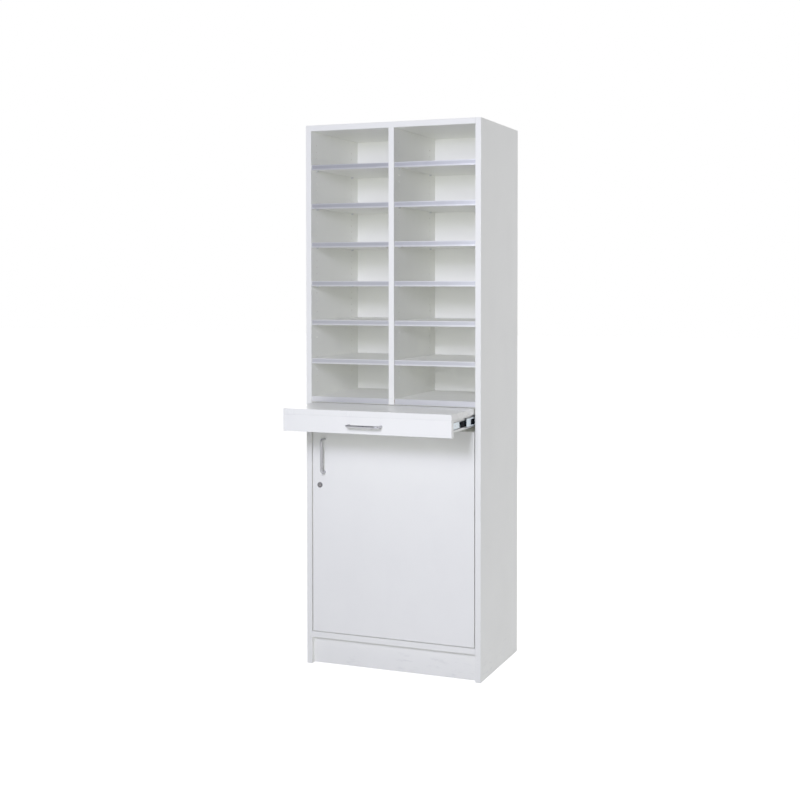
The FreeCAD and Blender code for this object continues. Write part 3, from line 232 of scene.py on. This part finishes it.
def make_chips():
    """Pressed wood chips, as in the core of the boards."""
    tree, given, made = new_group(
        "Wood chips", [("Chip size", "Float", 420.0)], [("Colour", "Color"), ("Height", "Float")])
    place = vector_node(tree, "MULTIPLY", object_place(tree), (1.0, 1.0, 1.6))
    cells = shader_node(tree, "ShaderNodeTexVoronoi", {}, Vector=place, Scale=given["Chip size"])
    tone = shader_node(tree, "ShaderNodeSeparateColor", {}, _0=cells.outputs["Color"]).outputs[0]
    grain = noise(tree, place, 1500.0, 4.0, 0.7)
    shade = math_node(tree, "ADD", part_of(tree, tone, 0.7), part_of(tree, grain, 0.3))
    tree.links.new(blend_colours(tree, shade, CHIP_BROWN, CHIP_TAN), made["Colour"])
    tree.links.new(shade, made["Height"])
    return tree


def make_brushing():
    """Fine lines left by brushing or rolling; the stretch sets their direction."""
    tree, given, made = new_group(
        "Brushed lines",
        [("Stretch", "Vector", (0.02, 1, 1)), ("Lines", "Float", 2500.0)],
        [("Height", "Float"), ("Tone", "Float"), ("Blotch", "Float")])
    place = object_place(tree)
    stretched = vector_node(tree, "MULTIPLY", place, given["Stretch"])
    fine = noise(tree, stretched, given["Lines"], 3.0, 0.7)
    coarse = noise(tree, stretched, math_node(tree, "MULTIPLY", given["Lines"], 0.2), 2.0)
    tree.links.new(fine, made["Height"])
    tree.links.new(spread(tree, math_node(tree, "ADD", fine, coarse), 0.7, 1.3), made["Tone"])
    tree.links.new(spread(tree, noise(tree, place, 60.0, 4.0, 0.6), 0.35, 0.65), made["Blotch"])
    return tree


def make_dust():
    """Thin patches of dust on faces that look up."""
    tree, given, made = new_group("Dust", [("Amount", "Float", 0.3)], [("Mask", "Float")])
    facing = split(tree, tree.nodes.new("ShaderNodeNewGeometry").outputs["Normal"])[2]
    patches = spread(tree, noise(tree, object_place(tree), 25.0, 5.0, 0.7), 0.35, 0.75)
    mask = math_node(tree, "MULTIPLY", spread(tree, facing, 0.6, 1.0), patches)
    tree.links.new(math_node(tree, "MULTIPLY", mask, given["Amount"]), made["Mask"])
    return tree


def make_scuffs():
    """Marks of shoes and brooms close to the floor, and faint rubbing anywhere else."""
    tree, given, made = new_group("Scuffs", [("Reach", "Float", 0.12)], [("Mask", "Float")])
    place = object_place(tree)
    risen = math_node(tree, "DIVIDE", split(tree, place)[2], given["Reach"])
    low_down = math_node(tree, "SUBTRACT", 1.0, risen, clamp=True)
    streaks = spread(tree, streaked_noise(tree, place, (18.0, 18.0, 70.0), 4.0, 0.65), 0.54, 0.74)
    patches = spread(tree, noise(tree, place, 7.0, 3.0, 0.6), 0.42, 0.62)
    marks = math_node(tree, "MULTIPLY", streaks, patches)
    strength = math_node(tree, "ADD", low_down, 0.06)
    tree.links.new(math_node(tree, "MULTIPLY", marks, strength), made["Mask"])
    return tree


PEARL = make_pearl()
ZONES = make_zones()
CHIPS = make_chips()
BRUSHING = make_brushing()
DUST = make_dust()
SCUFFS = make_scuffs()


# ---------------------------------------------------------------- materials

def tinted(colour, share=1.0):
    return tuple(min(part * share, 1.0) for part in colour) + (1,)


def side_flags(words):
    """Flags for the low and the high side on each axis, from words such as front and top."""
    rows = ("left", "front", "bottom"), ("right", "back", "top")
    return [tuple(float(word in words.split()) for word in row) for row in rows]


def new_material(name):
    material = bpy.data.materials.new(name)
    material.use_nodes = True
    tree = material.node_tree
    return material, tree, tree.nodes["Principled BSDF"]


def given_colour(shader):
    """The colour that already feeds a shader."""
    return shader.inputs["Base Color"].links[0].from_socket


def bumped(tree, shader, height, strength, distance):
    bump = shader_node(tree, "ShaderNodeBump", {}, Strength=strength, Distance=distance, Height=height)
    tree.links.new(bump.outputs[0], shader.inputs["Normal"])


def coated_board(node, banded="", raw="", gloss=BOARD_GLOSS):
    """White melamine over chipboard, laid out by the board's own corners. The words name the
    sides with an edge band and the sides that were cut and left raw."""
    material, tree, shader = new_material(node.replace("_", " ") + " coating")
    low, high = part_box(node)
    banded_low, banded_high = side_flags(banded)
    raw_low, raw_high = side_flags(raw)
    pearl = use_group(tree, PEARL)
    zones = use_group(tree, ZONES, Low=low, High=high, Banded_low=banded_low, Banded_high=banded_high,
                      Raw_low=raw_low, Raw_high=raw_high)
    chips = use_group(tree, CHIPS)
    dust = use_group(tree, DUST, Amount=DUST_AMOUNT)["Mask"]
    scuffs = use_group(tree, SCUFFS)["Mask"]

    rubbed = spread(tree, pearl["Smudge"], 0.0, 0.6, 0.12, 0.45)
    mottled = blend_colours(tree, pearl["Tone"], tinted(COAT, 0.968), tinted(COAT))
    colour = layered(
        tree, mottled,
        (part_of(tree, pearl["Smudge"], 0.05), HANDLED),
        (part_of(tree, zones["Band"], 0.5), tinted(COAT, 0.95)),
        (part_of(tree, zones["Glue line"], 0.35), GLUE_GREY),
        (math_node(tree, "MULTIPLY", zones["Arris"], rubbed), HANDLED),
        (part_of(tree, scuffs, 0.4), SHOE_GREY),
        (dust, DUST_GREY),
        (zones["Core"], chips["Colour"]))
    tree.links.new(colour, shader.inputs["Base Color"])

    rough = spread(tree, pearl["Smudge"], 0.0, 1.0, gloss - 0.04, gloss + 0.05)
    rough = math_node(tree, "SUBTRACT", rough, part_of(tree, zones["Band"], 0.08))
    rough = math_node(tree, "ADD", rough, part_of(tree, dust, 0.6))
    rough = math_node(tree, "ADD", rough, part_of(tree, zones["Core"], 0.4), clamp=True)
    tree.links.new(rough, shader.inputs["Roughness"])

    smoother = math_node(tree, "SUBTRACT", 1.0, part_of(tree, zones["Band"], 0.8))
    relief = math_node(tree, "MULTIPLY", pearl["Height"], smoother)
    cut_chips = math_node(tree, "MULTIPLY", chips["Height"], part_of(tree, zones["Core"], 4.0))
    relief = math_node(tree, "ADD", relief, cut_chips)
    relief = math_node(tree, "SUBTRACT", relief, part_of(tree, zones["Glue line"], 1.5))
    bumped(tree, shader, relief, 0.25, 0.00012)
    shader.inputs["IOR"].default_value = COAT_IOR
    return material


def brushed_metal(name, colour, roughness, stretch=(1.0, 1.0, 1.0), lines=2500.0, depth=0.3, blotch=0.06,
                  bare=1.0):
    """A metal with brushed or rolled lines and slightly uneven gloss. Bare is 1 for plain metal
    and less under a dyed or sealed skin."""
    material, tree, shader = new_material(name)
    brushed = use_group(tree, BRUSHING, Stretch=stretch, Lines=lines)
    streaked = blend_colours(tree, brushed["Tone"], tinted(colour, 0.88), tinted(colour, 1.08))
    dull = part_of(tree, brushed["Blotch"], blotch * 3)
    tree.links.new(blend_colours(tree, dull, streaked, tinted(colour, 0.8)), shader.inputs["Base Color"])
    rough = spread(tree, brushed["Blotch"], 0.0, 1.0, roughness - blotch, roughness + blotch)
    tree.links.new(rough, shader.inputs["Roughness"])
    shader.inputs["Metallic"].default_value = bare
    bumped(tree, shader, brushed["Height"], depth, 0.00004)
    return material, tree, shader


def off_middle(tree, node):
    """Height above or below the middle of a node."""
    low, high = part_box(node)
    height = split(tree, object_place(tree))[2]
    return math_node(tree, "ABSOLUTE", math_node(tree, "SUBTRACT", height, (low[2] + high[2]) / 2))


def slide_steel(node, race):
    """Zinc plated strip steel, near-black in streaked bands from its ball races, which lie a race off its
    middle, out to its edges.
    """
    name = node.replace("_", " ") + " steel"
    material, tree, shader = brushed_metal(name, ZINC, 0.25, ALONG_SLIDE, lines=1800.0, depth=0.25)
    near_race = spread(tree, off_middle(tree, node), race - RACE_EDGE, race)
    streaks = streaked_noise(tree, object_place(tree), (200.0, 30.0, 400.0), 3.0)
    # near-black in streaks from each race out to the member's edges
    dark_bands = math_node(tree, "MULTIPLY", near_race, spread(tree, streaks, 0.25, 0.55, 0.55, 1.0))
    tree.links.new(blend_colours(tree, dark_bands, given_colour(shader), EDGE_BLACK), shader.inputs["Base Color"])
    metal_share = math_node(tree, "SUBTRACT", 1.0, part_of(tree, dark_bands, 0.9))
    tree.links.new(metal_share, shader.inputs["Metallic"])
    return material


def label_holder(node):
    """Dyed aluminium strips, with painted shade in the channel that takes the labels and a painted
    highlight on their lips. The lowest one gets no painted shade and is as bright all over as the lips."""
    name = node.replace("_", " ")
    material, tree, shader = brushed_metal(name, LILAC, 0.3, LEVEL, lines=3000.0, depth=0.05, blotch=0.02,
                                           bare=0.75)
    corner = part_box(node)[0]
    place = object_place(tree)
    here = split(tree, place)
    # Painted shade over the label channel, darker still in streaks; the lips keep the lighter colour as a
    # painted highlight.
    behind_lip = math_node(tree, "GREATER_THAN", here[1], corner[1] + LIP)
    above_lowest = math_node(tree, "GREATER_THAN", here[2], corner[2] + LOWEST_STRIP)
    channel = math_node(tree, "MULTIPLY", behind_lip, above_lowest)
    streaks = spread(tree, streaked_noise(tree, place, (9.0, 1.0, 90.0), 2.0), 0.35, 0.65, 0.8, 1.0)
    channel_shade_streaks = math_node(tree, "MULTIPLY", channel, streaks)
    colour = layered(tree, tinted(LIT_LIP_LILAC), (channel, given_colour(shader)), (channel_shade_streaks, tinted(LILAC, 0.8)))
    tree.links.new(colour, shader.inputs["Base Color"])
    return material


def black_moulding(name):
    """Black plastic with a fine spark-eroded surface."""
    material, tree, shader = new_material(name)
    pearl = use_group(tree, PEARL, Grain=2200.0, Mottle=40.0)
    colour = blend_colours(tree, pearl["Tone"], tinted(PLASTIC, 0.7), tinted(PLASTIC))
    tree.links.new(colour, shader.inputs["Base Color"])
    tree.links.new(spread(tree, pearl["Smudge"], 0.0, 1.0, 0.5, 0.65), shader.inputs["Roughness"])
    shader.inputs["Specular IOR Level"].default_value = PLASTIC_SHINE
    bumped(tree, shader, pearl["Height"], 0.35, 0.00008)
    return material, tree, shader


def ball_cage(node):
    """A black cage whose bright balls stand out of it above and below."""
    material, tree, shader = black_moulding(node.replace("_", " ") + " moulding")
    low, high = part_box(node)
    cage_top = (high[2] - low[2]) / 2 - BALL_STAND
    ball = math_node(tree, "GREATER_THAN", off_middle(tree, node), cage_top)
    tree.links.new(blend_colours(tree, ball, given_colour(shader), tinted(ZINC)), shader.inputs["Base Color"])
    tree.links.new(ball, shader.inputs["Metallic"])
    return material


def beech():
    """Turned beech with short flecks along the grain."""
    material, tree, shader = new_material("beech dowel")
    grain = streaked_noise(tree, object_place(tree), (60.0, 900.0, 900.0), 4.0, 0.6)
    colour = blend_colours(tree, spread(tree, grain, 0.35, 0.65), BEECH_BROWN, BEECH_TAN)
    tree.links.new(colour, shader.inputs["Base Color"])
    tree.links.new(spread(tree, grain, 0.3, 0.7, 0.5, 0.68), shader.inputs["Roughness"])
    bumped(tree, shader, grain, 0.3, 0.0001)
    return material


# ---------------------------------------------------------------- painting

def paint(node, material):
    mesh = NODES[node].data
    mesh.materials.clear()
    mesh.materials.append(material)


def paint_board(node, banded="", raw="", gloss=BOARD_GLOSS):
    paint(node, coated_board(node, banded, raw, gloss))


def paint_boards():
    for side in ("left", "right"):
        paint_board(side + "_side_panel", "front back top bottom")
        paint_board("tray_bearer_" + side, "bottom back")
    for node in ("bottom_panel", "pigeonhole_floor", "cupboard_top_panel", "centre_divider"):
        paint_board(node, "front", "back")
    for node in NODES:
        if node.startswith("pigeonhole_shelf"):
            paint_board(node, "", "front back")
    paint_board("top_panel", "front back")
    paint_board("back_panel")
    paint_board("plinth_board", "", "bottom")
    paint_board("cupboard_shelf", "left right front", "back")
    paint_board("tray_top_board", "left right front back", gloss=TRAY_GLOSS)
    paint_board("tray_apron", "left right bottom")
    paint_board("door_panel", "left right top bottom")


def paint_fittings():
    fitting = brushed_metal("zinc plated fitting", FITTING_ZINC, 0.3, PRESSED, lines=900.0, depth=0.2)[0]
    dowel = beech()
    for node in NODES:
        if node.startswith("label_strips"):
            paint(node, label_holder(node))
        elif "dowels" in node:
            paint(node, dowel)
        elif "ball_cage" in node:
            paint(node, ball_cage(node))
        elif "screw" in node or "hinge" in node or node in ("shelf_pins", "lock_cam", "lock_nut"):
            paint(node, fitting)
    for side in ("left", "right"):
        for member, race in RACES.items():
            node = "slide_%s_%s" % (member, side)
            paint(node, slide_steel(node, race))
    paint("slide_release_levers", black_moulding("black moulding")[0])


def paint_handles_and_lock():
    level_bar = brushed_metal("satin steel level", SATIN, 0.3, LEVEL, lines=3000.0, depth=0.35)[0]
    upright_bar = brushed_metal("satin steel upright", SATIN, 0.3, UPRIGHT, lines=3000.0, depth=0.35)[0]
    ring = brushed_metal("dark nickel ring", LOCK_RING, 0.25, lines=1500.0, depth=0.15)[0]
    plug = brushed_metal("dark nickel plug", LOCK_PLUG, 0.2, lines=1500.0, depth=0.15)[0]
    paint("tray_handle", level_bar)
    paint("door_handle", upright_bar)
    paint("lock_housing", ring)
    paint("lock_plug", plug)


# ---------------------------------------------------------------- studio

FLOOR_SIZE = 60.0
FLOOR_LEVEL = -0.0005               # just under the feet, so that no faces meet
FLOOR_DARK = (0.62, 0.62, 0.61, 1)
FLOOR_PALE = (0.68, 0.68, 0.67, 1)
FLOOR_GLOW = 1.0                    # lifts the floor to the white of the backdrop
FLOOR_MIRRORED = 0.8                # the same floor, as metal mirrors it
BACKDROP = 0.9                      # the white behind the cabinet, as metal mirrors it
TO_BACKDROP = (0.35, 0.94, 0)
WHITE = (1, 1, 1, 1)
LIT_POINT = (0, 0, 1.1)             # all lights face the cabinet's middle
VIOLET = (0.70, 0.685, 1.0)
COOL = (0.90, 0.93, 1.0)


def make_floor():
    bpy.ops.object.select_all(action="DESELECT")
    bpy.ops.mesh.primitive_plane_add(size=FLOOR_SIZE, location=(0, 0, FLOOR_LEVEL))
    floor = bpy.context.object
    floor.name = "studio_floor"
    material, tree, shader = new_material("pale floor")
    tone = noise(tree, object_place(tree), 2.0, 3.0)
    tree.links.new(blend_colours(tree, tone, FLOOR_DARK, FLOOR_PALE), shader.inputs["Base Color"])
    shader.inputs["Roughness"].default_value = 0.7
    rays = tree.nodes.new("ShaderNodeLightPath").outputs
    seen = part_of(tree, rays["Is Camera Ray"], FLOOR_GLOW)
    mirrored = part_of(tree, rays["Is Glossy Ray"], FLOOR_MIRRORED)
    shader.inputs["Emission Color"].default_value = WHITE
    tree.links.new(math_node(tree, "MAXIMUM", seen, mirrored), shader.inputs["Emission Strength"])
    floor.data.materials.append(material)


def make_surroundings():
    """A dark room in front and a white backdrop behind, which only polished surfaces mirror."""
    world = bpy.data.worlds.new("studio")
    bpy.context.scene.world = world
    world.use_nodes = True
    tree = world.node_tree
    background = tree.nodes["Background"]
    background.inputs["Color"].default_value = WHITE
    rays = tree.nodes.new("ShaderNodeLightPath").outputs
    direction = tree.nodes.new("ShaderNodeTexCoord").outputs["Generated"]
    ahead = shader_node(tree, "ShaderNodeVectorMath", {"operation": "DOT_PRODUCT"},
                        _0=direction, _1=TO_BACKDROP).outputs["Value"]
    backdrop = spread(tree, ahead, -0.1, 0.25, 0.0, BACKDROP)
    mirrored = math_node(tree, "MULTIPLY", rays["Is Glossy Ray"], backdrop)
    strength = math_node(tree, "MAXIMUM", mirrored, rays["Is Camera Ray"])
    tree.links.new(strength, background.inputs["Strength"])


def make_light(name, place, size, power, colour=(1.0, 1.0, 1.0)):
    light = bpy.data.lights.new(name, "AREA")
    light.size = size
    light.energy = power
    light.color = colour
    lamp = bpy.data.objects.new(name, light)
    lamp.location = place
    lamp.rotation_euler = (Vector(LIT_POINT) - Vector(place)).to_track_quat("-Z", "Y").to_euler()
    bpy.context.scene.collection.objects.link(lamp)


def make_lights():
    make_light("key softbox", (0.4, -4.2, 2.45), size=0.7, power=62, colour=VIOLET)
    make_light("near softbox", (0.35, -2.6, 2.0), size=0.6, power=20, colour=COOL)
    make_light("low softbox", (0.35, -2.6, 1.4), size=0.5, power=11, colour=COOL)
    make_light("right fill", (3.5, 1.0, 1.8), size=2.4, power=44, colour=(0.885, 0.895, 1.0))
    make_light("back fill", (-2.6, 3.8, 2.0), size=2.4, power=60)
    make_light("top softbox", (0.0, -0.7, 5.0), size=1.5, power=12, colour=(0.9, 0.96, 1.0))


def make_camera():
    camera = bpy.data.cameras.new("camera")
    camera.sensor_width = 36.0
    camera.lens = 56.83
    camera.shift_x = -0.0494
    camera.shift_y = -0.105
    camera.clip_end = 100.0
    eye = bpy.data.objects.new("camera", camera)
    eye.location = (1.893, -4.631, 1.484)
    eye.rotation_euler = (math.radians(90 - 1.429), 0, math.radians(21.059))
    bpy.context.scene.collection.objects.link(eye)
    bpy.context.scene.camera = eye


paint_boards()
paint_fittings()
paint_handles_and_lock()
make_floor()
make_surroundings()
make_lights()
make_camera()
bpy.context.scene.view_settings.view_transform = "Standard"
bpy.context.scene.view_settings.gamma = 1.6
